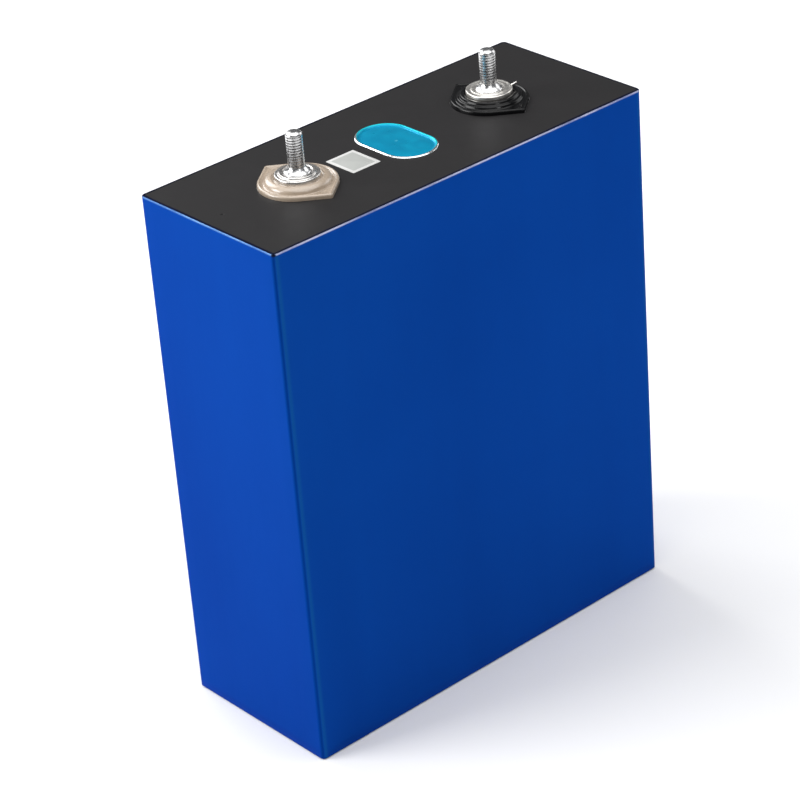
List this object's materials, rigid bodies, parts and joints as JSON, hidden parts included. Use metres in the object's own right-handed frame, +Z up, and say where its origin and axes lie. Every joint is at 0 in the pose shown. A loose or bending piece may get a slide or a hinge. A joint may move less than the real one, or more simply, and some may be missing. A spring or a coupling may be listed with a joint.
{
  "type": "prismatic battery cell",
  "caption": "Upright rectangular rechargeable cell in a blue film wrap, with a black top sheet, an oval pressure vent and two threaded studs on round insulators.",
  "frame": {"origin": "centre of the rectangular footprint, at the underside", "axes": "+Z up out of the lid, +X along the wide face from the positive to the negative terminal, +Y through the thickness"},
  "size_m": [0.1738, 0.0716, 0.2246],
  "materials": {
    "blue_film": "satin film",
    "clear_sheet": "matte",
    "can_aluminium": "mill finish",
    "lid_aluminium": "mill finish",
    "black_sheet": "matte",
    "label_paper": "matte",
    "vent_aluminium": "bright",
    "cyan_film": "gloss",
    "tan_plastic": "satin",
    "black_plastic": "satin",
    "terminal_aluminium": "machined",
    "terminal_nickel": "machined",
    "stud_steel": "bright",
    "rivet_aluminium": "machined",
    "copper": "bare",
    "seal_rubber": "matte",
    "inner_plastic": "matte",
    "roll": "matte",
    "tape": "matte",
    "bag_film": "matte",
    "aluminium_foil": "foil"
  },
  "bodies": {
    "root": {"blue_wrap_film": "blue_film", "bottom_insulation_sheet": "clear_sheet", "can": "can_aluminium", "lid_plate": "lid_aluminium", "top_sheet": "black_sheet", "label_sticker": "label_paper", "vent_frame": "vent_aluminium", "vent_rupture_disc": "vent_aluminium", "vent_film": "cyan_film", "positive_insulator": "tan_plastic", "negative_insulator": "black_plastic", "positive_terminal_disc": "terminal_aluminium", "negative_terminal_disc": "terminal_nickel", "positive_stud": "stud_steel", "negative_stud": "stud_steel", "positive_rivet": "rivet_aluminium", "negative_rivet": "copper", "positive_seal_ring": "seal_rubber", "negative_seal_ring": "seal_rubber", "positive_lower_insulator": "inner_plastic", "negative_lower_insulator": "inner_plastic", "positive_connector_plate": "rivet_aluminium", "negative_connector_plate": "copper", "positive_tab_stack": "aluminium_foil", "negative_tab_stack": "copper", "jelly_roll_front": "roll", "jelly_roll_rear": "roll", "core_binding_tape": "tape", "inner_insulation_film": "bag_film", "bottom_support_plate": "inner_plastic", "fill_plug": "seal_rubber", "fill_cap": "lid_aluminium"}
  },
  "joints": []
}
